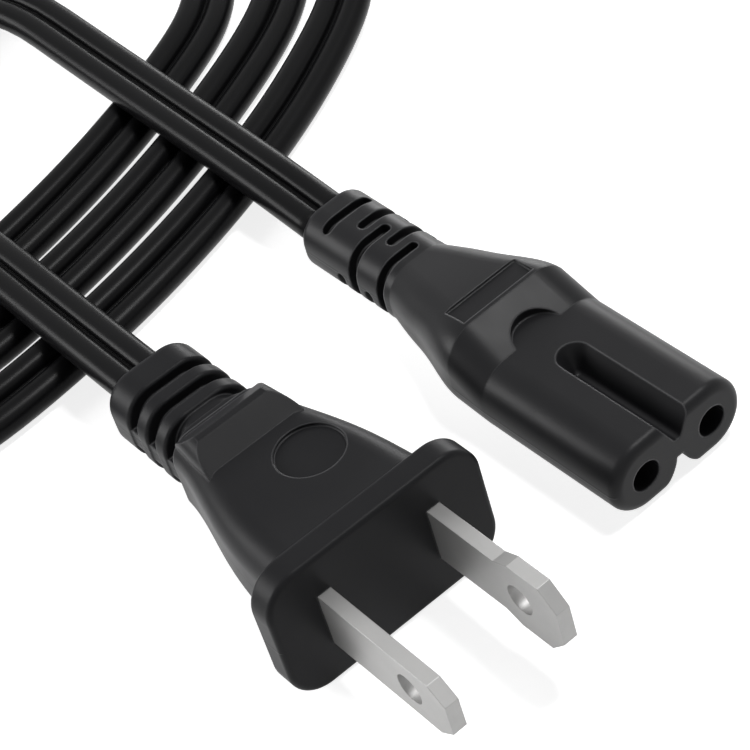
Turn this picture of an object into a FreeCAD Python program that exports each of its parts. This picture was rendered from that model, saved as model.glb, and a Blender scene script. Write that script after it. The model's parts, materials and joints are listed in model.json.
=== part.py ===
import FreeCAD, Part
import math
import os

from FreeCAD import Placement, Rotation, Vector

# A figure-eight appliance connector on a flat two-core cord, with a two-blade wall plug.
# Units are millimetres. The connector lies flat with its contact openings towards +Y,
# and the origin is under the middle of the connector, on the surface that it lies on.

# Connector, from the standard contact spacing
contact_pitch = 8.6
pin_diameter = 2.4
face_width = 16.6
face_height = 8.0
connector_length = 50.0
mouth_diameter = 3.3
mouth_depth = 2.4
front_edge_radius = 1.0
ramp_start = 18.0
ramp_end = 22.6
hump_height = 9.9
relief_length = 14.2
relief_width = 8.8
relief_height = 7.4

# Slot between the two barrels, seen from above, and the groove under it
slot_length = 14.8
slot_half_width = 1.8
slot_floor = 5.2
groove_length = 12.0
groove_top = 3.1
barrel_radius = 4.0

# Inner carrier of the connector and its contacts
carrier_width = 13.8
carrier_height = 5.0
carrier_length = 15.0
contact_wall = 0.4
contact_length = 12.0

# Cord
cord_width = 6.2
cord_height = 3.1
core_diameter = 2.5
core_pitch = 3.1

# Plug, from the standard blade spacing
blade_pitch = 12.7
blade_thickness = 1.5
narrow_blade_width = 6.35
wide_blade_width = 7.94
blade_length = 17.0
blade_hole_diameter = 3.2
blade_hole_distance = 11.7
flange_width = 24.5
flange_height = 15.0
flange_thickness = 3.0
plug_length = 37.0
crest_height = 13.6
plug_relief_width = 10.6
plug_relief_height = 8.8

# Where the plug lies: middle of its flange, turned about Z, nose a little up
plug_place = Vector(28.8, 17.4, 0.0)
plug_turn_deg = -1.5
plug_nose_up_deg = 2.1

# Route of the cord at the connector's end, from its tail over the turns and down among them
connector_route = [
    (0, -25, 4.0), (0, -32, 4.75), (-0.2, -42, 5.0), (-0.45, -54, 5.05), (-0.75, -68.5, 5.1),
    (-0.9, -87.05, 5.8), (8.6, -103.5, 5.8), (25.05, -113, 4.8),
]

# Route of the cord at the plug's end, from its tail in the same way
plug_route = [
    (27.83, -19.56, 6.25), (27.61, -27.96, 5.94), (27.2, -39.5, 5.45), (26.8, -51.5, 5.1),
    (26.6, -70.64, 3.5), (16.95, -87.35, 1.75), (0.24, -97, 2.2), (-19.5, -97, 4.9),
]

# Turns of the coil: the near strands' arc, the row on the far side and the right end
near_x = 42.0
near_y = -34.3
near_radius = 140.0
near_pitch = 7.9
near_angle_deg = 24.0
far_y = -110.0
far_pitch = 6.5
right_inner = 59.0
right_pitch = 7.0
coil_clearance = 0.3

half_length = connector_length / 2
front = half_length
tail = -half_length
axis_height = face_height / 2


def rounded_section(y, width, bottom, top, radius):
    """A rounded rectangle across the Y axis, always with four lines and four arcs."""
    half = width / 2
    radius = min(radius, half - 0.03, (top - bottom) / 2 - 0.03)
    k = radius * (1 - math.sqrt(0.5))
    points = []
    for sx, sz in ((1, -1), (1, 1), (-1, 1), (-1, -1)):
        x_edge, z_edge = sx * half, top if sz > 0 else bottom
        side = Vector(x_edge, y, z_edge - sz * radius)
        level = Vector(x_edge - sx * radius, y, z_edge)
        middle = Vector(x_edge - sx * k, y, z_edge - sz * k)
        points.append((level, middle, side) if sx * sz < 0 else (side, middle, level))
    edges = []
    for i, (start, middle, end) in enumerate(points):
        edges.append(Part.Arc(start, middle, end).toShape())
        edges.append(Part.makeLine(end, points[(i + 1) % 4][0]))
    return Part.Wire(edges)


def lofted(sections, ruled=False):
    """A solid through rounded sections, each given as y, width, bottom, top, radius."""
    return Part.makeLoft([rounded_section(*s) for s in sections], True, ruled)


def rounded_bar(y_from, y_to, width, bottom, top, radius):
    """A bar of one rounded section along the Y axis."""
    section = rounded_section(y_from, width, bottom, top, radius)
    return Part.Face(section).extrude(Vector(0, y_to - y_from, 0))


def edges_rounded(solid, y, radius):
    """Rounds the edges of the end face that lies at one place along Y."""
    edges = [e for e in solid.Edges if all(abs(v.Point.y - y) < 1e-6 for v in e.Vertexes)]
    return solid.makeFillet(radius, edges)


def cylinder_along_y(radius, x, z, y_from, y_to):
    """A round bar along the Y axis between two places."""
    return Part.makeCylinder(radius, y_to - y_from, Vector(x, y_from, z), Vector(0, 1, 0))


def box_between(x0, x1, y0, y1, z0, z1):
    """A box given by its six faces."""
    return Part.makeBox(x1 - x0, y1 - y0, z1 - z0, Vector(x0, y0, z0))


def valley_cutter(y_open, y_end, z_floor, z_open, half_width, bottom_radius):
    """A valley with a rounded floor that runs in from the front and ends in a half turn."""
    up = 1 if z_open > z_floor else -1
    z_top = z_open + up * 2.0
    centre = z_floor + up * bottom_radius
    lean = math.atan2(half_width - bottom_radius, abs(z_open - centre))
    wide = half_width + 2.0 * math.tan(lean)
    side = Vector(bottom_radius * math.cos(lean), 0, centre - up * bottom_radius * math.sin(lean))
    low = Vector(0, 0, z_floor)
    bend = math.radians(90) - (math.radians(90) - lean) / 2
    middle = Vector(bottom_radius * math.sin(bend - lean), 0, centre - up * bottom_radius * math.cos(bend - lean))
    rim = Vector(wide, 0, z_top)
    axis_top = Vector(0, 0, z_top)
    half = Part.Wire([
        Part.Arc(low, middle, side).toShape(),
        Part.makeLine(side, rim),
        Part.makeLine(rim, axis_top),
        Part.makeLine(axis_top, low),
    ])
    half_face = Part.Face(half)
    end = half_face.revolve(Vector(0, 0, 0), Vector(0, 0, 1), 360)
    right = half_face.extrude(Vector(0, y_open - y_end, 0))
    left = right.mirror(Vector(0, 0, 0), Vector(1, 0, 0))
    cutter = end.fuse([right, left]).removeSplitter()
    cutter.translate(Vector(0, y_end, 0))
    return cutter


def relief_slot(y, x_from, x_to, z_from, z_to, width, depth, section):
    """A round-ended slot in a strain relief: a band about the section, kept between limits."""
    half = width / 2
    low, left, right = z_from + half, x_from + half, x_to - half
    outer = box_between(left, right, y - half, y + half, low, z_to)
    ends = [Part.makeCylinder(half, z_to - low, Vector(x, y, low)) for x in (left, right)]
    foot = Part.makeCylinder(half, right - left, Vector(left, y, low), Vector(1, 0, 0))
    outer = outer.fuse(ends + [foot])
    w, bottom, top, radius = section
    core = rounded_section(y - width, w - 2 * depth, bottom + depth, top - depth, radius - depth)
    core = Part.Face(core).extrude(Vector(0, 2 * width, 0))
    return outer.cut(core)


def rounded_route(points):
    """Straight runs joined by tangent arcs, each as large as its two runs allow."""
    radii = []
    edges = []
    last = points[0]
    for before, corner, after in zip(points, points[1:], points[2:]):
        back, ahead = before - corner, after - corner
        turn = math.pi - back.getAngle(ahead)
        reach = 0.45 * min(back.Length, ahead.Length)
        radius = reach / math.tan(turn / 2)
        start = corner + back.normalize() * reach
        end = corner + ahead.normalize() * reach
        inwards = (back + ahead).normalize()
        to_arc = radius / math.cos(turn / 2) - radius
        middle = corner + inwards * to_arc
        edges.append(Part.makeLine(last, start))
        edges.append(Part.Arc(start, middle, end).toShape())
        radii.append(radius)
        last = end
    edges.append(Part.makeLine(last, points[-1]))
    return Part.Wire(edges), radii


def swept_flat(points, width, height):
    """A flat cord's plain body along a route, its broad side kept level."""
    path, radii = rounded_route(points)
    ahead = (points[1] - points[0]).normalize()
    section = rounded_section(0, width, -height / 2, height / 2, height / 2)
    side = ahead.cross(Vector(0, 0, 1)).normalize()
    section.Placement = Placement(points[0], Rotation(side, ahead, Vector(0, 0, 1), "YXZ"))
    sweep = Part.BRepOffsetAPI.MakePipeShell(path)
    sweep.setBiNormalMode(Vector(0, 0, 1))
    sweep.add(section)
    sweep.build()
    sweep.makeSolid()
    return sweep.shape(), path.Length, radii


def swept_round(points, radius):
    """A round wire along a route."""
    path, _ = rounded_route(points)
    ahead = (points[1] - points[0]).normalize()
    section = Part.Wire([Part.makeCircle(radius, points[0], ahead)])
    sweep = Part.BRepOffsetAPI.MakePipeShell(path)
    sweep.add(section)
    sweep.build()
    sweep.makeSolid()
    return sweep.shape()


# Connector

def connector_core_route(side):
    """The insulated core from its contact's crimp to the tail, on one side."""
    x_contact, x_tail = side * contact_pitch / 2, side * core_pitch / 2
    return [
        Vector(x_contact, front - mouth_depth - carrier_length, axis_height),
        Vector(x_contact, front - mouth_depth - carrier_length - 4, axis_height),
        Vector(x_tail, front - mouth_depth - carrier_length - 14, axis_height),
        Vector(x_tail, tail, axis_height),
    ]


def connector_carrier_body():
    """The block inside the overmould that holds the two contacts."""
    y_front = front - mouth_depth
    half = carrier_height / 2
    section = (carrier_width, axis_height - half, axis_height + half, half - 0.4)
    body = lofted([(y_front - carrier_length, *section), (y_front, *section)], True)
    waist = valley_cutter(front, y_front - carrier_length, slot_floor - 0.7, axis_height + half, 1.9, 0.9)
    under = valley_cutter(front, y_front - carrier_length, groove_top + 0.6, axis_height - half, 1.9, 0.9)
    return body.cut([waist, under])


def connector_insert():
    """The carrier with its two bores for the contacts and for the crimps behind them."""
    y_front = front - mouth_depth
    solid = connector_carrier_body()
    outer = pin_diameter / 2 + contact_wall
    for side in (-1, 1):
        x = side * contact_pitch / 2
        solid = solid.cut(cylinder_along_y(outer, x, axis_height, y_front - carrier_length, y_front))
    return solid


def socket_contact(side):
    """A spring tube for one pin, with its crimp barrel closed at the back."""
    x = side * contact_pitch / 2
    y_front = front - mouth_depth
    outer = pin_diameter / 2 + contact_wall
    body = cylinder_along_y(outer, x, axis_height, y_front - carrier_length, y_front)
    bore = cylinder_along_y(pin_diameter / 2, x, axis_height, y_front - contact_length, y_front)
    return body.cut(bore)


def barrel_groove():
    """The groove under the front: what two round barrels side by side leave open."""
    centre_x, centre_z = face_width / 2 - barrel_radius, axis_height

    def on_barrel(angle_deg):
        """A point on the right barrel, its angle taken from straight down towards the middle."""
        angle = math.radians(angle_deg)
        return Vector(centre_x - barrel_radius * math.sin(angle), front - groove_length,
                      centre_z - barrel_radius * math.cos(angle))

    top_angle = math.degrees(math.acos((centre_z - groove_top) / barrel_radius))
    low_angle = 25.0
    top, middle, low = on_barrel(top_angle), on_barrel((top_angle + low_angle) / 2), on_barrel(low_angle)
    slope = math.radians(low_angle)
    foot = low + Vector(math.cos(slope), 0, -math.sin(slope)) * 1.9

    def across(point):
        """The same point on the other barrel."""
        return Vector(-point.x, point.y, point.z)

    outline = Part.Wire([
        Part.Arc(top, middle, low).toShape(),
        Part.makeLine(low, foot),
        Part.makeLine(foot, across(foot)),
        Part.makeLine(across(foot), across(low)),
        Part.Arc(across(low), across(middle), across(top)).toShape(),
        Part.makeLine(across(top), top),
    ])
    return Part.Face(outline).extrude(Vector(0, groove_length + 2, 0))


def connector_outline():
    """The overmould from outside, before its openings: barrels, ramp, shoulders and relief."""
    nose = rounded_bar(front - ramp_start, front, face_width, 0, face_height, barrel_radius)
    nose = edges_rounded(nose, front, front_edge_radius)
    ramp = lofted([
        (front - ramp_end, face_width - 0.5, 0, hump_height, 3.9),
        (front - ramp_start, face_width, 0, face_height, barrel_radius),
    ], True)
    shoulder = lofted([
        (tail + relief_length, relief_width, 0.3, 0.3 + relief_height, 3.2),
        (tail + relief_length + 1.2, 9.5, 0.24, 7.95, 3.3),
        (front - 32.6, 10.6, 0.14, 8.4, 3.4),
        (front - 30.0, 11.8, 0.06, 8.95, 3.5),
        (front - 27.3, 13.5, 0.0, 9.45, 3.7),
        (front - 24.8, 15.2, 0.0, 9.8, 3.8),
        (front - ramp_end, face_width - 0.5, 0, hump_height, 3.9),
    ])
    relief = rounded_bar(tail, tail + relief_length, relief_width, 0.3, 0.3 + relief_height, 3.2)
    relief = edges_rounded(relief, tail, 0.8)
    solid = nose.fuse([ramp, shoulder, relief])
    return solid.common(box_between(-20, 20, tail - 1, front + 1, 0, 20))


def finger_recess():
    """The half round cut into the ramp's foot, its floor level with the top of the barrels."""
    radius = 3.0
    centre_y = front - ramp_start + 0.6
    return Part.makeCylinder(radius, 4, Vector(0, centre_y, face_height))


def connector_shell():
    """The whole overmould with slot, groove, contact mouths, relief slots and its cavities."""
    solid = connector_outline()
    solid = solid.cut(valley_cutter(front + 2, front - slot_length + slot_half_width, slot_floor,
                                    face_height, slot_half_width, 0.6))
    solid = solid.cut(barrel_groove())
    solid = solid.cut(finger_recess())
    strip = box_between(-4.6, 4.6, front - ramp_end - 3.3, front - ramp_end - 0.5, hump_height - 0.55, 12)
    solid = solid.cut(strip)
    section = (relief_width, 0.3, 0.3 + relief_height, 3.2)
    middle = axis_height
    slots = [
        (3.2, -3.2, 3.2, middle + 1, 9, 1.2),
        (6.2, -7, 0.8, middle, 9, 1.3),
        (8.4, -1.4, 7, 1.2, 9, 1.3),
        (10.5, -7, 0.6, middle, 9, 1.25),
        (12.7, -1.4, 7, 1.2, 9, 1.1),
    ]
    for distance, x0, x1, z0, z1, width in slots:
        cutter = relief_slot(tail + distance, x0, x1, z0, z1, width, 1.15, section)
        under = cutter.copy()
        under.rotate(Vector(0, 0, middle), Vector(0, 1, 0), 180)
        solid = solid.cut([cutter, under])
    for side in (-1, 1):
        x = side * contact_pitch / 2
        solid = solid.cut(cylinder_along_y(mouth_diameter / 2, x, axis_height, front - mouth_depth, front + 1))
        solid = solid.cut(swept_round(connector_core_route(side), core_diameter / 2))
    outer = pin_diameter / 2 + contact_wall
    solid = solid.cut(connector_carrier_body())
    for side in (-1, 1):
        x = side * contact_pitch / 2
        y_front = front - mouth_depth
        solid = solid.cut(cylinder_along_y(outer, x, axis_height, y_front - carrier_length, y_front))
    return solid


# Plug, built about the middle of its flange's front face and then laid in its place

def blade(width, side, flared):
    """One blade with its chamfered tip, its hole and the tail that carries the core."""
    x = side * blade_pitch / 2
    half = width / 2
    inner = -8.0
    chamfer = 2.0
    points = [
        (-half * 0.8, inner), (-half * 0.8, -2.0), (-half, -0.5),
        (-half, blade_length - chamfer), (-half + 1.4, blade_length),
        (half - 1.4, blade_length), (half, blade_length - chamfer),
        (half, -0.5), (half * 0.8, -2.0), (half * 0.8, inner),
    ]
    if flared:
        narrow = narrow_blade_width / 2
        waist = blade_length - 8.0
        points = [
            (-narrow * 0.8, inner), (-narrow * 0.8, -2.0), (-narrow, -0.5),
            (-narrow, waist), (-half, waist + 2.0), (-half, blade_length - chamfer),
            (-half + 2.0, blade_length), (half - 2.0, blade_length),
            (half, blade_length - chamfer), (half, waist + 2.0), (narrow, waist),
            (narrow, -0.5), (narrow * 0.8, -2.0), (narrow * 0.8, inner),
        ]
    corners = [Vector(x - blade_thickness / 2, y, z) for z, y in points]
    outline = Part.makePolygon(corners + corners[:1])
    solid = Part.Face(outline).extrude(Vector(blade_thickness, 0, 0))
    hole = Part.makeCylinder(blade_hole_diameter / 2, 4,
                             Vector(x - 2, blade_hole_distance, 0), Vector(1, 0, 0))
    return solid.cut(hole)


def plug_bridge_body():
    """The inner carrier that holds the two blades at their spacing."""
    return lofted([(-9.0, 15.8, -3.9, 3.9, 1.6), (-1.2, 15.8, -3.9, 3.9, 1.6)], True)


def plug_core_route(side):
    """The insulated core from its blade's tail to the end of the plug, on one side."""
    x_blade, x_tail = side * blade_pitch / 2, side * core_pitch / 2
    return [
        Vector(x_blade, -9.0, 0), Vector(x_blade, -11.0, 0),
        Vector(x_tail, -21.0, 0), Vector(x_tail, -plug_length, 0),
    ]


def plug_relief():
    """The plug's strain relief: a core, four collars with rounded edges and a web at each side."""
    half = plug_relief_height / 2
    parts = [rounded_bar(0.6 - plug_length, -24.2, plug_relief_width - 2.6, 1.3 - half, half - 1.3, 2.4)]
    for start, end in ((0.0, 3.9), (5.2, 7.0), (8.3, 10.1), (11.4, 13.3)):
        collar = rounded_bar(start - plug_length, end - plug_length, plug_relief_width, -half, half, 3.4)
        collar = edges_rounded(collar, start - plug_length, 0.9 if start == 0.0 else 0.35)
        parts.append(edges_rounded(collar, end - plug_length, 0.35))
    edge = plug_relief_width / 2 - 0.15
    web = box_between(-edge, edge, 1.5 - plug_length, 12.5 - plug_length, -1.2, 0.9)
    filling = rounded_bar(9.2 - plug_length, 12.3 - plug_length, 7.8, 0.35 - half, half - 0.35, 2.9)
    return parts[0].fuse(parts[1:] + [web, filling])


def plug_crest():
    """The ridge across the plug above and below, with a short ramp on each side of it."""
    half = crest_height / 2
    corners = [
        (-24.2, -4.4), (-24.2, 4.4), (-23.9, 5.0), (-21.4, half), (-20.6, half),
        (-17.5, 5.05), (-17.5, -5.05), (-20.6, -half), (-21.4, -half), (-23.9, -5.0),
    ]
    points = [Vector(-9, y, z) for y, z in corners]
    ridge = Part.Face(Part.makePolygon(points + points[:1])).extrude(Vector(18, 0, 0))
    lines = [e for e in ridge.Edges if all(abs(abs(v.Point.z) - half) < 1e-6 for v in e.Vertexes)
             and abs(e.Vertexes[0].Point.x - e.Vertexes[1].Point.x) > 1]
    ridge = ridge.makeFillet(0.35, lines)
    sides = lofted([
        (-24.6, 9.8, -half - 0.1, half + 0.1, 1.9),
        (-21.0, 10.7, -half - 0.1, half + 0.1, 1.9),
        (-17.2, 11.4, -half - 0.1, half + 0.1, 1.9),
    ])
    return ridge.common(sides)


def plug_outline():
    """The overmould of the plug from outside: flange, body with its grip hump, and relief."""
    half = flange_height / 2
    flange = rounded_bar(-flange_thickness, 0, flange_width, -half, half, 3.9)
    flange = edges_rounded(flange, 0, 0.5)
    flange = edges_rounded(flange, -flange_thickness, 0.5)
    body = lofted([
        (-24.4, 11.4, -4.9, 4.9, 2.6),
        (-20.4, 12.9, -5.1, 5.1, 2.7),
        (-16.0, 15.4, -5.25, 5.25, 2.9),
        (-11.0, 17.6, -5.45, 5.45, 3.1),
        (-6.0, 18.7, -5.8, 5.8, 3.3),
        (-flange_thickness / 2, 19.6, -6.3, 6.3, 3.5),
    ])
    return flange.fuse([body, plug_crest(), plug_relief()])


def plug_shell():
    """The plug's overmould with a plain round recess and its cavities."""
    solid = plug_outline()
    recess = Part.makeCylinder(3.5, 3, Vector(-2.6, -12.6, 4.88))
    solid = solid.cut(recess)
    solid = solid.cut(plug_bridge_body())
    for side, width, flared in ((1, narrow_blade_width, False), (-1, wide_blade_width, True)):
        solid = solid.cut(blade(width, side, flared))
        solid = solid.cut(swept_round(plug_core_route(side), core_diameter / 2))
    return solid


def plug_bridge():
    """The carrier with the two slots that the blades sit in."""
    solid = plug_bridge_body()
    for side, width, flared in ((1, narrow_blade_width, False), (-1, wide_blade_width, True)):
        solid = solid.cut(blade(width, side, flared))
    return solid


def lay_plug(solid):
    """Moves a solid from the plug's own frame to where the plug lies."""
    tilt = math.radians(plug_nose_up_deg)
    height = flange_height / 2 * math.cos(tilt) + flange_thickness * math.sin(tilt)
    turn = Rotation(Vector(0, 0, 1), plug_turn_deg)
    turn = turn.multiply(Rotation(Vector(1, 0, 0), plug_nose_up_deg))
    placed = solid.copy()
    placed.Placement = Placement(plug_place + Vector(0, 0, height), turn).multiply(placed.Placement)
    return placed


# Cord

def corner_arc(start, corner, end):
    """A quarter turn that touches the two straight sides that meet in a corner."""
    centre = start + end - corner
    middle = centre + (corner - centre) * math.sqrt(0.5)
    return Part.Arc(start, middle, end).toShape()


def coil_outline(top, radius, bottom, right, corner):
    """One closed outline of the coil: near arc, left end, far side and right end."""
    angle = math.radians(near_angle_deg)
    near_start = Vector(right - corner, top, 0)
    near_end = Vector(near_start.x - radius * math.sin(angle), top - radius * (1 - math.cos(angle)), 0)
    left = (near_end.y - bottom) / (1 + math.cos(angle))
    left_centre = near_end + Vector(math.sin(angle), -math.cos(angle), 0) * left
    half = angle / 2
    near_middle = Vector(near_start.x - radius * math.sin(half), top - radius * (1 - math.cos(half)), 0)
    far_left = Vector(left_centre.x, bottom, 0)
    low_start, low_end = Vector(right - corner, bottom, 0), Vector(right, bottom + corner, 0)
    high_start = Vector(right, top - corner, 0)
    return Part.Wire([
        corner_arc(low_start, Vector(right, bottom, 0), low_end),
        Part.makeLine(low_end, high_start),
        corner_arc(high_start, Vector(right, top, 0), near_start),
        Part.Arc(near_start, near_middle, near_end).toShape(),
        Part.Arc(near_end, left_centre - Vector(left, 0, 0), far_left).toShape(),
        Part.makeLine(far_left, low_start),
    ])


def cord_coil():
    """The outer shape of the coil: one layer high, and two where turns lie on each other."""
    edge = cord_width / 2 + coil_clearance
    right = right_inner + 2 * right_pitch + edge
    outer = Part.Face(coil_outline(near_y + edge, near_radius + edge, far_y - far_pitch - edge,
                                   right, right - near_x + 2))
    inner_radius = near_radius - 2 * near_pitch - edge
    inner_right = right_inner - edge
    inner = Part.Face(coil_outline(near_y - 2 * near_pitch - edge, inner_radius, far_y + 4.5,
                                   inner_right, inner_right - near_x + 8))
    opening = inner.extrude(Vector(0, 0, 20)).common(box_between(-12, 80, -130, 0, -1, 20))
    ring = outer.extrude(Vector(0, 0, 2 * cord_height + 0.4)).cut(opening)
    one_layer = cord_height + 0.1
    single = box_between(-12, 80, -74, 0, one_layer, 20)
    right_end = box_between(inner_right - 2, 80, -80, -62, one_layer, 20)
    return ring.cut(single.cut(right_end)).removeSplitter()


def cord_run(route, beyond, coil):
    """A plain flat tube along one route, from the tail beside it to where it meets the coil."""
    points = [Vector(*p) for p in route]
    back = (points[0] - points[1]).normalize() * 0.5
    solid, length, radii = swept_flat([points[0] + back] + points[1:], cord_width, cord_height)
    section = cord_height * (cord_width - cord_height) + math.pi * cord_height ** 2 / 4
    print("tube volume", round(solid.Volume), "section times length", round(section * length))
    print("radii", [round(r) for r in radii])
    far_side = box_between(-80, 80, -130, far_y + 4.5, -1, 20)
    pieces = solid.cut([beyond, coil, far_side]).Solids
    return min(pieces, key=lambda piece: piece.distToShape(Part.Vertex(points[0]))[0])


def write(name, solid):
    """Writes one sub-part and prints its volume."""
    if solid.ShapeType == "Compound" and len(solid.Solids) == 1:
        solid = solid.Solids[0]
    print(name, solid.ShapeType, len(solid.Solids), solid.isValid(), round(solid.Volume, 1), solid.BoundBox)
    solid.exportStep(f"parts/{name}.step")


def main():
    """Builds every sub-part."""
    os.makedirs("parts", exist_ok=True)
    write("connector_shell", connector_shell())
    write("connector_insert", connector_insert())
    for side, name in ((1, "left"), (-1, "right")):
        write(f"socket_contact_{name}", socket_contact(side))
        write(f"connector_core_{name}", swept_round(connector_core_route(side), core_diameter / 2))
        write(f"plug_core_{name}", lay_plug(swept_round(plug_core_route(side), core_diameter / 2)))
    write("plug_shell", lay_plug(plug_shell()))
    write("plug_bridge", lay_plug(plug_bridge()))
    write("narrow_blade", lay_plug(blade(narrow_blade_width, 1, False)))
    write("wide_blade", lay_plug(blade(wide_blade_width, -1, True)))
    coil = cord_coil()
    write("cord_coil", coil)
    past_connector_tail = box_between(-10, 10, tail, tail + 10, -10, 20)
    write("cord_connector_run", cord_run(connector_route, past_connector_tail, coil))
    past_plug_tail = lay_plug(box_between(-10, 10, -plug_length, 10 - plug_length, -10, 10))
    write("cord_plug_run", cord_run(plug_route, past_plug_tail, coil))


main()
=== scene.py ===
"""A figure-eight power connector on a coiled flat cord with its wall plug.

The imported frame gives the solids. This script adds their surfaces, one smooth cord in place of
the three stand-ins, a paper floor, the light and the camera.
"""
from __future__ import annotations

import json
import logging
import math
from dataclasses import dataclass
from enum import Enum
from typing import Callable, Sequence

import bpy
import numpy as np
from mathutils import Matrix

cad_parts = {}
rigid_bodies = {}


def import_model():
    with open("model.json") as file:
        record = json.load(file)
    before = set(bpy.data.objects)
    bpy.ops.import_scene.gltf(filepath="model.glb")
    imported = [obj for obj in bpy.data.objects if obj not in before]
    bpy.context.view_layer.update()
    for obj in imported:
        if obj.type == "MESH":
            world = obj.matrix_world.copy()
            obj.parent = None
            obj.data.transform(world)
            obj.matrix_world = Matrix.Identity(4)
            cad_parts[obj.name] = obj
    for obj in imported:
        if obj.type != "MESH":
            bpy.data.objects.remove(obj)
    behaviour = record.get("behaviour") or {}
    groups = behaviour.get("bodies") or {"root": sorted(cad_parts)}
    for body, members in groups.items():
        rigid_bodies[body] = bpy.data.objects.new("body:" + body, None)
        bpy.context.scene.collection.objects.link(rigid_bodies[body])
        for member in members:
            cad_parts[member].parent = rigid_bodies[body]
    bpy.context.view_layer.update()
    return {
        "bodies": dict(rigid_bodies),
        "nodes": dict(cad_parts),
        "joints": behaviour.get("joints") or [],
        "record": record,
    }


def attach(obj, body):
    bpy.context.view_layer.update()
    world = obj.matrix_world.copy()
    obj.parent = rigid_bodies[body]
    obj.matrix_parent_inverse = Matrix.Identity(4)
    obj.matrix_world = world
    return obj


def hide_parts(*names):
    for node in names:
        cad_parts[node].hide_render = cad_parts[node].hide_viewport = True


log = logging.getLogger("power_connector")

MM = 0.001
QUARTER_TURN = math.pi / 2
UPWARD = (0.0, 0.0, 1.0)

# The camera's sensor in millimetres and the nearest thing that it sees in metres.
SENSOR_WIDTH = 36.0
NEAREST_SEEN = 0.01

# Rays that look for an edge, and steps of the cord's pattern in a metre of its length.
EDGE_SAMPLES = 6
UV_PER_METRE = 100

Point = tuple[float, float, float]


def facing_matrix(right: np.ndarray, back: np.ndarray, place: Sequence[float]) -> Matrix:
    """Place and direction of a lamp or a camera, which look away from their own back.

    Args:
        right: Direction of its right side, of length 1.
        back: Direction of its back, of length 1.
        place: Where it is, in metres.

    Returns:
        The object's matrix.
    """
    columns = np.eye(4)
    columns[:3, 0], columns[:3, 1], columns[:3, 2] = right, np.cross(back, right), back
    columns[:3, 3] = place
    return Matrix(columns.tolist())


def add_object(name: str, data: bpy.types.ID) -> bpy.types.Object:
    """Makes an object and puts it in the scene.

    Args:
        name: Name of the object.
        data: Its mesh, curve, lamp or camera.

    Returns:
        The object.
    """
    made = bpy.data.objects.new(name, data)
    bpy.context.scene.collection.objects.link(made)
    return made


class Slot(Enum):
    """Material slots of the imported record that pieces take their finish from."""

    BLACK_PVC = "black_pvc"
    INNER_PLASTIC = "inner_plastic"
    CONTACT_METAL = "contact_metal"
    BLADE_METAL = "blade_metal"
    CORE_INSULATION = "core_insulation"
    CORD_PVC = "cord_pvc"


@dataclass(frozen=True)
class CameraPose:
    """Where the picture is taken from, in millimetres in the row frame.

    Attributes:
        place: Position of the lens.
        right: Direction of the picture's right edge.
        down: Direction of the picture's lower edge.
        focal_pixels: Focal length in pixels of a picture that is 750 pixels wide.
        picture_pixels: Width and height of that picture.
    """

    place: Point = (98.1, 148.53, 177.64)
    right: Point = (-0.73737, 0.64435, -0.2027)
    down: Point = (0.578, 0.44659, -0.68299)
    focal_pixels: float = 2536.7
    picture_pixels: int = 750

    def matrix(self) -> Matrix:
        """The camera's place and direction.

        Returns:
            The camera object's matrix, in metres.
        """
        right = np.array(self.right) / np.linalg.norm(self.right)
        back = np.cross(right, -np.array(self.down))
        back /= np.linalg.norm(back)
        return facing_matrix(right, back, np.array(self.place) * MM)

    def lens(self) -> float:
        """Focal length for a sensor of the width SENSOR_WIDTH.

        Returns:
            The focal length in millimetres.
        """
        return SENSOR_WIDTH * self.focal_pixels / self.picture_pixels


@dataclass(frozen=True)
class CordSize:
    """Section of the flat two-core cord, in millimetres.

    Attributes:
        width: Across both lobes.
        height: Of one lobe.
        web: Thickness where the lobes join.
        groove: Half the width of the groove between the lobes.
        outer_shoulder: Radius of the outer edges.
        inner_shoulder: Radius of the edges beside the groove.
    """

    width: float = 6.2
    height: float = 3.1
    web: float = 1.3
    groove: float = 0.1
    outer_shoulder: float = 1.35
    inner_shoulder: float = 1.15


@dataclass(frozen=True)
class Turn:
    """One turn of the coil: in along the far side, round the right end, back past the connector.

    Attributes:
        row_y: Row on the far side that it comes in on.
        row_z: Height of its centre there.
        low_corner_x: Where it starts to bend at the far right.
        right_x: Its straight stretch at the right end.
        high_corner_x: Where it joins its near strand.
        strand: Which near strand, from 0 for the outermost.
        left_bottom: Row that its left end leads to.
    """

    row_y: float
    row_z: float
    low_corner_x: float
    right_x: float
    high_corner_x: float
    strand: int
    left_bottom: float


def eased(start: float, end: float, share: float) -> float:
    """A value on the way from one to another, with soft ends.

    Args:
        start: Where it starts.
        end: Where it ends.
        share: How far along it is, from 0 to 1.

    Returns:
        The value.
    """
    return start + (end - start) * share * share * (3 - 2 * share)


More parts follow.
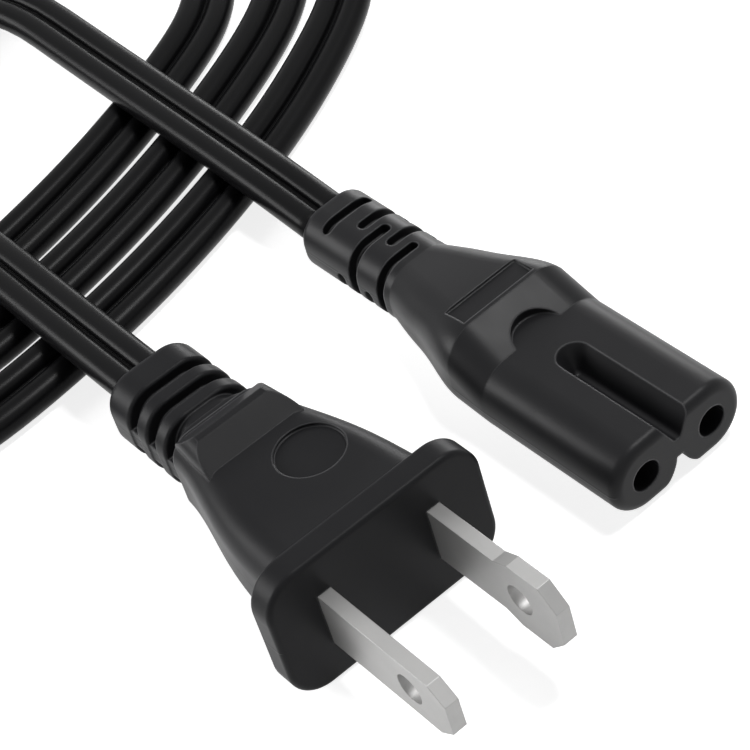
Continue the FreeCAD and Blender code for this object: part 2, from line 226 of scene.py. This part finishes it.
@dataclass(frozen=True)
class CoilShape:
    """Turns of the coil, in millimetres.

    They follow the CAD stand-in within its box, and their near strands are fitted to the picture.

    Attributes:
        near_x: Middle of the near strands' arcs.
        near_y: Outermost near strand there.
        near_radius: Radius of the near strands.
        near_pitch: Spacing of the near strands.
        near_shift: How much further right the arc of each next strand lies.
        near_angle: How far the outermost near strand bends before the left end, in degrees.
        angle_step: How much less the next strand bends.
        far_y: Inner row on the far side.
        far_pitch: Spacing of the rows there.
        right_inner: Innermost stretch at the right end.
        right_pitch: Spacing of the stretches there.
        last_bottom: Where the last left end leads, beside the plug's run.
        lying: Height of the centre of a strand that lies flat on the surface.
        leaning: Height of the centre of a near strand, which leans a little outwards.
        upper: Height of the centre of a strand that lies on another.
        lean: How far the near strands lean, in degrees.
        lean_slack: How far above its near height a strand still leans fully.
        lean_fade: Over how much further height the lean dies away.
        lean_from_y: Where the lean begins, beside the far rows.
        lean_over_y: Over how much y it grows to its full size.
        lead_start: How far before the far right corner a turn's first point is.
        lead_end: How far before it the last straight point is.
        low_centre_y: Lowest place of the far right corner's centre.
        high_centre_y: Lowest place of the near right corner's centre.
        climb_start: Share of the change in height that the near right corner starts with.
        climb_angle: Angle over which a whole change in height is made there, in radians.
        last_early: How much sooner the last left end starts to climb, in radians.
        last_angle: Angle over which it climbs, in radians.
        row_points: Points on the straight lead to a corner.
        corner_points: Points round a corner at the right end.
        strand_points: Points on a near strand, with both its ends.
        left_points: Points round the left end.
    """

    near_x: float = 45.2
    near_y: float = -34.1
    near_radius: float = 140.0
    near_pitch: float = 8.55
    near_shift: float = 1.75
    near_angle: float = 29.5
    angle_step: float = 2.2
    far_y: float = -110.5
    far_pitch: float = 6.25
    right_inner: float = 59.0
    right_pitch: float = 7.0
    last_bottom: float = -98.6
    lying: float = 1.6
    leaning: float = 2.15
    upper: float = 4.85
    lean: float = 16.0
    lean_slack: float = 0.1
    lean_fade: float = 1.2
    lean_from_y: float = -95.0
    lean_over_y: float = 20.0
    lead_start: float = 22.0
    lead_end: float = 6.0
    low_centre_y: float = -88.0
    high_centre_y: float = -77.0
    climb_start: float = 0.2
    climb_angle: float = 1.3
    last_early: float = 0.35
    last_angle: float = 1.1
    row_points: int = 3
    corner_points: int = 7
    strand_points: int = 6
    left_points: int = 11

    def turns(self) -> tuple[Turn, ...]:
        """The three turns, from the connector's end.

        Returns:
            Their rows, corners and strands.
        """
        outer_row = self.far_y - self.far_pitch
        top_row = (self.far_y + outer_row) / 2
        middle = self.right_inner + self.right_pitch
        outer = self.right_inner + 2 * self.right_pitch
        return (
            Turn(row_y=top_row, row_z=self.upper, low_corner_x=33.0, right_x=self.right_inner,
                 high_corner_x=34.0, strand=2, left_bottom=self.far_y),
            Turn(row_y=self.far_y, row_z=self.lying, low_corner_x=41.0, right_x=middle,
                 high_corner_x=36.0, strand=1, left_bottom=outer_row),
            Turn(row_y=outer_row, row_z=self.lying, low_corner_x=41.0, right_x=outer,
                 high_corner_x=40.0, strand=0, left_bottom=self.last_bottom),
        )

    def near_place(self, strand: int, x: float) -> float:
        """Where a near strand is at one x.

        Args:
            strand: Which near strand.
            x: Place along it.

        Returns:
            Its y.
        """
        centre_y = self.near_y - self.near_pitch * strand - self.near_radius
        aside = x - self.near_x - self.near_shift * strand
        return centre_y + math.sqrt(self.near_radius ** 2 - aside ** 2)

    def right_end(self, turn: Turn) -> list[Point]:
        """The right end of one turn: its row, the far corner and the near corner.

        Args:
            turn: The turn.

        Returns:
            Points from its row to just before its near strand.
        """
        found = []
        near_start = self.near_place(turn.strand, turn.high_corner_x)
        low_width = turn.right_x - turn.low_corner_x
        low_centre = max(turn.row_y + low_width, self.low_centre_y)
        first, last = turn.low_corner_x - self.lead_start, turn.low_corner_x - self.lead_end
        for x in np.linspace(first, last, self.row_points):
            found.append((x, turn.row_y, turn.row_z))
        corner = np.linspace(0.0, QUARTER_TURN, self.corner_points)
        for angle in corner:
            found.append((turn.low_corner_x + low_width * math.sin(angle),
                          low_centre - (low_centre - turn.row_y) * math.cos(angle), turn.row_z))
        high_width = turn.right_x - turn.high_corner_x
        high_centre = max(near_start - high_width, self.high_centre_y)
        for angle in corner[:-1]:
            share = min(1.0, self.climb_start + angle / self.climb_angle)
            found.append((turn.high_corner_x + high_width * math.cos(angle),
                          high_centre + (near_start - high_centre) * math.sin(angle),
                          eased(turn.row_z, self.leaning, share)))
        return found

    def left_end(self, turn: Turn, last: bool) -> list[Point]:
        """The near strand of one turn and its left end.

        Args:
            turn: The turn.
            last: Whether it ends beside the plug's run, over the other turns.

        Returns:
            Points from the strand's start to the row that the left end leads to.
        """
        found = []
        bend = math.radians(self.near_angle - self.angle_step * turn.strand)
        end_x = self.near_x + self.near_shift * turn.strand - self.near_radius * math.sin(bend)
        for x in np.linspace(turn.high_corner_x, end_x, self.strand_points)[:-1]:
            found.append((x, self.near_place(turn.strand, x), self.leaning))
        end_y = self.near_place(turn.strand, end_x)
        left = (end_y - turn.left_bottom) / (1 + math.cos(bend))
        centre_x, centre_y = end_x + left * math.sin(bend), turn.left_bottom + left
        angles = np.linspace(bend, math.pi, self.left_points)
        if last:
            end_z = self.upper
            angles = angles[:-1]
            shares = np.minimum(1.0, (angles - bend + self.last_early) / self.last_angle)
        else:
            end_z = self.lying
            shares = (angles - bend) / (math.pi - bend)
        for angle, share in zip(angles, shares):
            found.append((centre_x - left * math.sin(angle), centre_y + left * math.cos(angle),
                          eased(self.leaning, end_z, share)))
        return found

    def lean_at(self, line: np.ndarray) -> np.ndarray:
        """How far the cord leans outwards at each point, from how high its middle lies there.

        Args:
            line: Points along the cord, in metres.

        Returns:
            Angles in radians.
        """
        height = line[:, 2] / MM
        rise = np.clip((height - self.lying) / (self.leaning - self.lying), 0.0, 1.0)
        fall = np.clip((height - self.leaning - self.lean_slack) / self.lean_fade, 0.0, 1.0)
        near = np.clip((line[:, 1] / MM - self.lean_from_y) / self.lean_over_y, 0.0, 1.0)
        return math.radians(self.lean) * rise * (1.0 - fall) * near

    def points(self) -> list[Point]:
        """All the turns as points of the cord's own line.

        Returns:
            Points in millimetres, from the connector's end to the plug's end.
        """
        turns = self.turns()
        found = []
        for turn in turns:
            found += self.right_end(turn)
            found += self.left_end(turn, turn is turns[-1])
        return found[self.row_points:]


# Points of the two runs in millimetres, each from its moulding to the coil.
CONNECTOR_ROUTE = (
    (0, -25, 4.0), (0, -32, 4.75), (-0.2, -42, 5.0), (-0.45, -54, 5.05), (-0.75, -68.5, 5.1),
    (-0.9, -87.05, 5.8), (8.6, -103.5, 5.8), (20.8, -112.0, 4.95),
)

PLUG_ROUTE = (
    (27.83, -19.56, 6.25), (27.61, -27.96, 5.94), (27.2, -39.5, 5.45), (26.8, -51.5, 5.1),
    (26.6, -70.64, 3.5), (16.95, -87.35, 1.75), (1.5, -97, 2.15), (-10.5, -98.9, 3.9),
)


class Value:
    """A shader value that takes part in sums and products like a number."""

    def __init__(self, tree: bpy.types.NodeTree, socket: bpy.types.NodeSocket) -> None:
        """Wraps a socket.

        Args:
            tree: The material's node tree.
            socket: The output socket that holds the value.
        """
        self.tree = tree
        self.socket = socket

    def _math(self, operation: str, *values: Value | float) -> Value:
        """Adds a math node.

        Args:
            operation: Name of the node's operation.
            values: Its inputs, in order.

        Returns:
            The node's result.
        """
        node = self.tree.nodes.new("ShaderNodeMath")
        node.operation = operation
        for place, value in enumerate(values):
            if isinstance(value, Value):
                self.tree.links.new(value.socket, node.inputs[place])
            else:
                node.inputs[place].default_value = value
        return Value(self.tree, node.outputs[0])

    def __add__(self, other: Value | float) -> Value:
        """Value plus other."""
        return self._math("ADD", self, other)

    def __radd__(self, other: float) -> Value:
        """Number plus value."""
        return self._math("ADD", other, self)

    def __sub__(self, other: Value | float) -> Value:
        """Value minus other."""
        return self._math("SUBTRACT", self, other)

    def __rsub__(self, other: float) -> Value:
        """Number minus value."""
        return self._math("SUBTRACT", other, self)

    def __mul__(self, other: Value | float) -> Value:
        """Value times other."""
        return self._math("MULTIPLY", self, other)

    def __rmul__(self, other: float) -> Value:
        """Number times value."""
        return self._math("MULTIPLY", other, self)

    def absolute(self) -> Value:
        """The value without its sign.

        Returns:
            The result.
        """
        return self._math("ABSOLUTE", self)

    def larger(self, other: Value) -> Value:
        """The larger of two values.

        Args:
            other: The second value.

        Returns:
            The result.
        """
        return self._math("MAXIMUM", self, other)

    def between(self, low: float, high: float) -> Value:
        """How far the value is from one number to another, from 0 to 1 with soft ends.

        Args:
            low: Gives 0.
            high: Gives 1.

        Returns:
            The result.
        """
        node = self.tree.nodes.new("ShaderNodeMapRange")
        node.interpolation_type = "SMOOTHSTEP"
        node.inputs["From Min"].default_value = low
        node.inputs["From Max"].default_value = high
        self.tree.links.new(self.socket, node.inputs["Value"])
        return Value(self.tree, node.outputs["Result"])


def background_rays(tree: bpy.types.NodeTree) -> Value:
    """Rays that see the background: straight, in a reflection or through glass.

    Args:
        tree: The node tree that asks.

    Returns:
        1 for these rays and 0 for those that light the object.
    """
    path = tree.nodes.new("ShaderNodeLightPath")
    straight = Value(tree, path.outputs["Is Camera Ray"])
    mirrored = Value(tree, path.outputs["Is Glossy Ray"])
    passed = Value(tree, path.outputs["Is Transmission Ray"])
    return straight.larger(mirrored).larger(passed)


class MaterialBuilder:
    """Makes one node material step by step."""

    def __init__(self, name: str) -> None:
        """Starts a material with its principled shader.

        Args:
            name: Name of the material.
        """
        self.material = bpy.data.materials.new(name)
        self.material.use_nodes = True
        self.tree = self.material.node_tree
        self.shader = self.tree.nodes["Principled BSDF"]
        self.coordinates = self.tree.nodes.new("ShaderNodeTexCoord")

    def noise(self, scale: float, detail: float = 2.0, stretch: Sequence[float] = (1, 1, 1),
              coordinate: str = "Object") -> Value:
        """A noise pattern.

        Args:
            scale: Waves in a metre.
            detail: How many finer layers it has.
            stretch: Scale along each axis.
            coordinate: Which coordinates it follows.

        Returns:
            The pattern, around 0.5.
        """
        mapping = self.tree.nodes.new("ShaderNodeMapping")
        mapping.inputs["Scale"].default_value = stretch
        node = self.tree.nodes.new("ShaderNodeTexNoise")
        node.inputs["Scale"].default_value = scale
        node.inputs["Detail"].default_value = detail
        self.tree.links.new(self.coordinates.outputs[coordinate], mapping.inputs["Vector"])
        self.tree.links.new(mapping.outputs["Vector"], node.inputs["Vector"])
        return Value(self.tree, node.outputs["Fac"])

    def colour(self, dark: Sequence[float], light: Sequence[float], mix: Value) -> None:
        """Sets a base colour that varies between two.

        Args:
            dark: Colour where the pattern is 0.
            light: Colour where the pattern is 1.
            mix: The pattern.
        """
        node = self.tree.nodes.new("ShaderNodeMix")
        node.data_type = "RGBA"
        node.inputs["A"].default_value = (*dark, 1.0)
        node.inputs["B"].default_value = (*light, 1.0)
        self.tree.links.new(mix.socket, node.inputs["Factor"])
        self.tree.links.new(node.outputs["Result"], self.shader.inputs["Base Color"])

    def drive(self, name: str, value: Value | float | Sequence[float]) -> None:
        """Sets one input of the shader.

        Args:
            name: Name of the input.
            value: A number, a colour or a pattern.
        """
        if isinstance(value, Value):
            self.tree.links.new(value.socket, self.shader.inputs[name])
        else:
            self.shader.inputs[name].default_value = value

    def from_plane(self, direction: Sequence[float], place: Sequence[float]) -> Value:
        """Distance of the surface from a plane, in metres.

        Args:
            direction: The plane's direction, of length 1.
            place: A point on it, in metres.

        Returns:
            The distance, above 0 on the side that the direction points to.
        """
        node = self.tree.nodes.new("ShaderNodeVectorMath")
        node.operation = "DOT_PRODUCT"
        node.inputs[1].default_value = direction
        self.tree.links.new(self.coordinates.outputs["Object"], node.inputs[0])
        return Value(self.tree, node.outputs["Value"]) - float(np.dot(direction, place))

    def facing(self, axis: str) -> Value:
        """How squarely the surface faces along one axis, either way.

        Args:
            axis: Name of the axis, X, Y or Z.

        Returns:
            From 0, at right angles to it, to 1.
        """
        geometry = self.tree.nodes.new("ShaderNodeNewGeometry")
        parts = self.tree.nodes.new("ShaderNodeSeparateXYZ")
        self.tree.links.new(geometry.outputs["Normal"], parts.inputs["Vector"])
        return Value(self.tree, parts.outputs[axis]).absolute()

    def rounded_normal(self, radius: float) -> bpy.types.NodeSocket:
        """The surface's direction as if every edge were rounded.

        Args:
            radius: Radius of the rounding, in metres.

        Returns:
            The socket that gives it.
        """
        edge = self.tree.nodes.new("ShaderNodeBevel")
        edge.samples = EDGE_SAMPLES
        edge.inputs["Radius"].default_value = radius
        return edge.outputs["Normal"]

    def near_edge(self, radius: float, low: float = 0.006, high: float = 0.06) -> Value:
        """Where the surface is close to an edge.

        Args:
            radius: How far from the edge it reaches, in metres.
            low: How much the rounded direction has to turn for it to count at all.
            high: How much for it to count fully.

        Returns:
            From 0, away from edges, to 1.
        """
        geometry = self.tree.nodes.new("ShaderNodeNewGeometry")
        alike = self.tree.nodes.new("ShaderNodeVectorMath")
        alike.operation = "DOT_PRODUCT"
        self.tree.links.new(self.rounded_normal(radius), alike.inputs[0])
        self.tree.links.new(geometry.outputs["Normal"], alike.inputs[1])
        return (1.0 - Value(self.tree, alike.outputs["Value"])).between(low, high)

    def bump(self, height: Value, distance: float, strength: float = 1.0,
             soft_edge: float = 0.0) -> None:
        """Raises and lowers the surface for the light only.

        Args:
            height: The pattern.
            distance: Height in metres where the pattern is 1.
            strength: How much of it is used.
            soft_edge: Radius in metres that the light sees on every edge.
        """
        node = self.tree.nodes.new("ShaderNodeBump")
        if soft_edge:
            self.tree.links.new(self.rounded_normal(soft_edge), node.inputs["Normal"])
        node.inputs["Distance"].default_value = distance
        node.inputs["Strength"].default_value = strength
        self.tree.links.new(height.socket, node.inputs["Height"])
        self.tree.links.new(node.outputs["Normal"], self.shader.inputs["Normal"])


@dataclass(frozen=True)
class PartingPlane:
    """Where the two halves of a mould met on one piece.

    Attributes:
        direction: The plane's direction.
        place: A point on it, in millimetres.
    """

    direction: Point
    place: Point


@dataclass(frozen=True)
class MouldedSurface:
    """Soft black PVC from a spark-eroded mould: satin, with a fine grain, a parting line and a
    painted highlight along its edges.

    Attributes:
        name: Name of the material.
        parting: Where the mould's halves met.
        gloss: Strength of its reflections, from 0 to 1.
        black: Colour of plain surfaces.
        painted_edge_highlight: Lighter colour painted along edges, a painted highlight of their
            rounding.
        edge_highlight_share: How far edges move towards that painted highlight.
        edge_radius: Size of the small round edges, in metres.
        relief: Height of the grain and the parting line, in metres.
        line_core: Half the width of the parting line where it is full, in metres.
        line_end: Half its width where it ends, in metres.
    """

    name: str
    parting: PartingPlane
    gloss: float
    black: Point = (0.0115, 0.0115, 0.0127)
    painted_edge_highlight: Point = (0.12, 0.12, 0.124)
    edge_highlight_share: float = 0.7
    edge_radius: float = 0.0003
    relief: float = 0.00002
    line_core: float = 0.00002
    line_end: float = 0.00012

    def parting_line(self, build: MaterialBuilder) -> Value:
        """The raised line where the mould's halves met, on the sides only.

        Args:
            build: The material that is being made.

        Returns:
            From 0 to 1 on the line.
        """
        place = tuple(value * MM for value in self.parting.place)
        aside = build.from_plane(self.parting.direction, place).absolute()
        line = 1.0 - aside.between(self.line_core, self.line_end)
        return line * build.facing("X").between(0.5, 0.7)

    def material(self) -> bpy.types.Material:
        """Makes the material.

        Returns:
            The material.
        """
        build = MaterialBuilder(self.name)
        grain = build.noise(scale=5200, detail=3)
        cloud = build.noise(scale=160)
        smear = build.noise(scale=420, detail=4, stretch=(1, 0.35, 1))
        # Faint random tone from the cloud, plus a painted highlight that lightens every edge,
        # inward corners too.
        tone_and_edge_highlight = 0.04 * cloud + self.edge_highlight_share * build.near_edge(self.edge_radius)
        build.colour(dark=self.black, light=self.painted_edge_highlight, mix=tone_and_edge_highlight)
        build.drive("Roughness", 0.31 + 0.10 * cloud + 0.06 * smear)
        build.drive("Specular IOR Level", self.gloss)
        height = grain * 0.5 + cloud * 1.5 + self.parting_line(build) * 2.2
        build.bump(height, distance=self.relief, strength=0.5, soft_edge=self.edge_radius)
        return build.material


PLUG_TURN = math.radians(-1.5)
PLUG_NOSE_UP = math.radians(2.1)

CONNECTOR_PARTING = PartingPlane(direction=UPWARD, place=(0.0, 0.0, 4.0))

PLUG_PARTING = PartingPlane(
    direction=(math.sin(PLUG_NOSE_UP) * math.sin(PLUG_TURN),
               -math.sin(PLUG_NOSE_UP) * math.cos(PLUG_TURN), math.cos(PLUG_NOSE_UP)),
    place=(28.8, 17.4, 7.605),
)


def connector_pvc() -> bpy.types.Material:
    """The connector's overmould.

    Returns:
        The material.
    """
    return MouldedSurface("black_pvc_connector", CONNECTOR_PARTING, gloss=0.14).material()


def plug_pvc() -> bpy.types.Material:
    """The plug's overmould.

    Returns:
        The material.
    """
    return MouldedSurface("black_pvc_plug", PLUG_PARTING, gloss=0.09).material()


def inner_plastic() -> bpy.types.Material:
    """Hard black carrier plastic.

    Returns:
        The material.
    """
    build = MaterialBuilder("black_carrier_plastic")
    cloud = build.noise(scale=300)
    build.colour(dark=(0.010, 0.010, 0.011), light=(0.016, 0.016, 0.017), mix=cloud)
    build.drive("Roughness", 0.5 + 0.1 * cloud)
    return build.material


def cord_pvc() -> bpy.types.Material:
    """Extruded cord sheath, smoother than the moulded pieces, with faint draw lines.

    Returns:
        The material.
    """
    build = MaterialBuilder("black_cord_sheath")
    lines = build.noise(scale=40, stretch=(1, 60, 1), coordinate="UV")
    cloud = build.noise(scale=120)
    build.colour(dark=(0.004, 0.004, 0.0045), light=(0.007, 0.007, 0.0075), mix=cloud)
    build.drive("Roughness", 0.26 + 0.10 * lines)
    build.drive("Specular IOR Level", 0.08)
    build.bump(lines, distance=0.00001, strength=0.2)
    return build.material


def blade_metal() -> bpy.types.Material:
    """Nickel-plated brass, drawn along the blade, with small scratches.

    Returns:
        The material.
    """
    build = MaterialBuilder("nickel_plate")
    drawn = build.noise(scale=900, detail=3, stretch=(1, 0.06, 1))
    stain = build.noise(scale=260, detail=3)
    build.colour(dark=(0.37, 0.368, 0.365), light=(0.44, 0.436, 0.43), mix=stain)
    build.drive("Metallic", 0.7)
    build.drive("Roughness", 0.44 + 0.12 * drawn)
    build.bump(drawn, distance=0.00001, strength=0.5, soft_edge=0.00012)
    return build.material


def contact_metal() -> bpy.types.Material:
    """Tinned brass of the spring contacts.

    Returns:
        The material.
    """
    build = MaterialBuilder("tinned_brass")
    stain = build.noise(scale=500, detail=3)
    build.colour(dark=(0.40, 0.36, 0.27), light=(0.52, 0.48, 0.38), mix=stain)
    build.drive("Metallic", 1.0)
    build.drive("Roughness", 0.35 + 0.15 * stain)
    return build.material


def pale_floor() -> bpy.types.Material:
    """White paper that is bright enough to melt into the background, but for soft shadows.

    Returns:
        The material.
    """
    build = MaterialBuilder("white_paper")
    build.drive("Base Color", (0.8, 0.8, 0.8, 1.0))
    build.drive("Roughness", 1.0)
    build.drive("Specular IOR Level", 0.0)
    build.drive("Emission Color", (1.0, 1.0, 1.0, 1.0))
    build.drive("Emission Strength", 0.82 * background_rays(build.tree))
    return build.material


MATERIALS: dict[Slot, Callable[[], bpy.types.Material]] = {
    Slot.BLACK_PVC: connector_pvc,
    Slot.INNER_PLASTIC: inner_plastic,
    Slot.CONTACT_METAL: contact_metal,
    Slot.BLADE_METAL: blade_metal,
    Slot.CORE_INSULATION: inner_plastic,
    Slot.CORD_PVC: cord_pvc,
}


def two_lobe_section(size: CordSize, steps: int = 5) -> np.ndarray:
    """Outline of the flat cord: two lobes with rounded shoulders, joined by a thin web.

    Args:
        size: Sizes of the section.
        steps: Points on each rounded shoulder.

    Returns:
        Rows of side and height in millimetres, once round.
    """
    top, wide = size.height / 2, size.width / 2
    outer, inner = size.outer_shoulder, size.inner_shoulder
    sweep = np.linspace(0.0, QUARTER_TURN, steps)
    beside_groove = np.column_stack([size.groove + inner * (1 - np.cos(sweep)),
                                     inner - top - inner * np.sin(sweep)])
    outside = np.column_stack([wide - outer + outer * np.sin(sweep),
                               outer - top - outer * np.cos(sweep)])
    half = np.concatenate([[[size.groove, -size.web / 2]], beside_groove, outside])
    lobe = np.concatenate([half, half[::-1] * (1.0, -1.0)])
    return np.concatenate([lobe, -lobe])


def spline_points(curve: bpy.types.Object) -> np.ndarray:
    """Points along a curve object's own smooth line.

    Args:
        curve: A curve object with one spline and no bevel.

    Returns:
        Rows of x, y, z in metres.
    """
    line = bpy.data.meshes.new_from_object(curve)
    found = np.array([v.co[:] for v in line.vertices])
    bpy.data.meshes.remove(line)
    return found


def route_curve(name: str, route: Sequence[Sequence[float]], resolution: int) -> bpy.types.Object:
    """A smooth line that the given points control.

    Args:
        name: Name of the curve.
        route: Control points in millimetres.
        resolution: Steps between control points.

    Returns:
        The curve object.
    """
    data = bpy.data.curves.new(name, "CURVE")
    data.dimensions = "3D"
    data.resolution_u = resolution
    spline = data.splines.new("NURBS")
    spline.points.add(len(route) - 1)
    for point, place in zip(spline.points, route):
        point.co = (*(value * MM for value in place), 1.0)
    spline.order_u = 3
    spline.use_endpoint_u = True
    return add_object(name, data)


def swept_mesh(name: str, line: np.ndarray, section: np.ndarray,
               lean: np.ndarray) -> bpy.types.Object:
    """A closed tube whose broad side follows a line, level but for its lean.

    Args:
        name: Name of the piece.
        line: Points along its middle, in metres.
        section: Outline in millimetres, as side and height.
        lean: How far the broad side leans at each point, in radians.

    Returns:
        The piece.
    """
    ahead = np.gradient(line, axis=0)
    ahead /= np.linalg.norm(ahead, axis=1)[:, None]
    side = np.cross(ahead, UPWARD)
    side /= np.linalg.norm(side, axis=1)[:, None]
    up = np.cross(side, ahead)
    cosine, sine = np.cos(lean)[:, None], np.sin(lean)[:, None]
    side, up = side * cosine - up * sine, up * cosine + side * sine
    rings = (line[:, None, :] + side[:, None, :] * section[None, :, :1] * MM
             + up[:, None, :] * section[None, :, 1:] * MM)
    count, around = rings.shape[:2]
    faces = []
    for ring in range(0, (count - 1) * around, around):
        following = ring + around
        for j in range(around):
            k = (j + 1) % around
            faces.append((ring + j, following + j, following + k, ring + k))
    faces.append(tuple(range(around)))
    faces.append(tuple(reversed(range((count - 1) * around, count * around))))
    mesh = bpy.data.meshes.new(name)
    mesh.from_pydata(rings.reshape(-1, 3).tolist(), [], faces)
    length = np.concatenate([[0.0], np.cumsum(np.linalg.norm(np.diff(line, axis=0), axis=1))])
    layer = mesh.uv_layers.new(name="UVMap")
    for polygon in mesh.polygons:
        for loop_index in polygon.loop_indices:
            vertex = mesh.loops[loop_index].vertex_index
            along = length[vertex // around] * UV_PER_METRE
            layer.data[loop_index].uv = (along, (vertex % around) / around)
        polygon.use_smooth = len(polygon.vertices) == 4
    return add_object(name, mesh)


@dataclass(frozen=True)
class Lamp:
    """One soft square lamp.

    Attributes:
        name: Name of the lamp.
        place: Where it hangs, in metres.
        target: What it points at.
        size: Side of its square, in metres.
        power: In watts.
    """

    name: str
    place: Point
    target: Point
    size: float
    power: float

    def add(self) -> None:
        """Hangs it in the scene."""
        data = bpy.data.lights.new(self.name, "AREA")
        data.size = self.size
        data.energy = self.power
        back = np.array(self.place) - np.array(self.target)
        back = back / np.linalg.norm(back)
        right = np.cross(UPWARD, back)
        right /= np.linalg.norm(right)
        add_object(self.name, data).matrix_world = facing_matrix(right, back, self.place)


# A small soft box overhead and two larger ones behind, to the left and the right.
LAMPS = (
    Lamp("overhead", (-0.17, 0.03, 0.47), (0.01, 0.0, 0.0), size=0.11, power=1.25),
    Lamp("behind_left", (0.37, -0.34, 0.19), (0.01, -0.02, 0.0), size=0.24, power=1.8),
    Lamp("behind_right", (-0.42, -0.36, 0.06), (0.01, -0.02, 0.0), size=0.20, power=0.9),
)


class Scene:
    """Builds the whole picture over the CAD frame.

    Attributes:
        room_dim: Strength of the room's light from above.
        room_horizon: How much more comes from the horizon and from below it.
        horizon_top: Direction's height where the bright band ends.
        horizon_low: Direction's height where it is full.
        paper_half: Half the side of the paper floor, in metres.
        paper_height: Height of the paper floor, in metres.
    """

    room_dim: float = 0.07
    room_horizon: float = 0.40
    horizon_top: float = 0.42
    horizon_low: float = -0.02
    paper_half: float = 2.0
    paper_height: float = -0.0001

    def __init__(self, frame: dict) -> None:
        """Keeps the frame.
        """
        self.frame = frame
        self.pose = CameraPose()
        self.size = CordSize()
        self.coil = CoilShape()
        self.finishes = {slot: make() for slot, make in MATERIALS.items()}
        self.own_finishes = {"plug_shell": plug_pvc()}

    def dress_nodes(self) -> None:
        """Gives each CAD node the detailed material of its slot."""
        for entry in self.frame["record"]["subparts"]:
            node = self.frame["nodes"][entry["node"]]
            node.data.materials.clear()
            usual = self.finishes[Slot(entry["material_slot"])]
            node.data.materials.append(self.own_finishes.get(entry["node"], usual))

    def cord(self) -> None:
        """The whole flat cord, from the connector through the coil to the plug."""
        route = [*CONNECTOR_ROUTE, *self.coil.points(), *reversed(PLUG_ROUTE)]
        curve = route_curve("cord_route", route, resolution=6)
        line = spline_points(curve)
        bpy.data.objects.remove(curve)
        piece = swept_mesh("flat_cord", line, two_lobe_section(self.size), self.coil.lean_at(line))
        piece.data.materials.append(self.finishes[Slot.CORD_PVC])
        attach(piece, "root")
        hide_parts("cord_connector_run", "cord_coil", "cord_plug_run")

    def camera(self) -> None:
        """Sets the camera where the picture was taken."""
        data = bpy.data.cameras.new("camera")
        data.sensor_width = SENSOR_WIDTH
        data.lens = self.pose.lens()
        data.clip_start = NEAREST_SEEN
        camera = add_object("camera", data)
        camera.matrix_world = self.pose.matrix()
        bpy.context.scene.camera = camera

    def world(self) -> None:
        """White where it is seen, and as light a dim room with a bright horizon."""
        world = bpy.data.worlds.new("white_room")
        bpy.context.scene.world = world
        world.use_nodes = True
        tree = world.node_tree
        tree.nodes.clear()
        output = tree.nodes.new("ShaderNodeOutputWorld")
        mix = tree.nodes.new("ShaderNodeMixShader")
        seen = tree.nodes.new("ShaderNodeBackground")
        room = tree.nodes.new("ShaderNodeBackground")
        direction = tree.nodes.new("ShaderNodeTexCoord")
        parts = tree.nodes.new("ShaderNodeSeparateXYZ")
        tree.links.new(direction.outputs["Generated"], parts.inputs["Vector"])
        height = Value(tree, parts.outputs["Z"])
        horizon = height.between(self.horizon_top, self.horizon_low)
        strength = self.room_dim + self.room_horizon * horizon
        seen.inputs["Color"].default_value = (1.0, 1.0, 1.0, 1.0)
        room.inputs["Color"].default_value = (0.98, 0.985, 1.0, 1.0)
        tree.links.new(strength.socket, room.inputs["Strength"])
        tree.links.new(background_rays(tree).socket, mix.inputs["Fac"])
        tree.links.new(room.outputs["Background"], mix.inputs[1])
        tree.links.new(seen.outputs["Background"], mix.inputs[2])
        tree.links.new(mix.outputs["Shader"], output.inputs["Surface"])

    def floor(self) -> None:
        """Lays a wide sheet of white paper just under everything."""
        mesh = bpy.data.meshes.new("paper_floor")
        corners = [(x * self.paper_half, y * self.paper_half, self.paper_height)
                   for x, y in ((-1, -1), (1, -1), (1, 1), (-1, 1))]
        mesh.from_pydata(corners, [], [(0, 1, 2, 3)])
        mesh.materials.append(pale_floor())
        paper = add_object("paper_floor", mesh)

    def build(self) -> None:
        """Builds every piece, the lights and the camera."""
        self.dress_nodes()
        self.cord()
        self.world()
        self.floor()
        for lamp in LAMPS:
            lamp.add()
        self.camera()


def main() -> None:
    """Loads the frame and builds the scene."""
    logging.basicConfig(level=logging.INFO)
    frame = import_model()
    scene = bpy.context.scene
    scene.view_settings.view_transform = "Standard"
    Scene(frame).build()


if __name__ == "__main__":
    main()
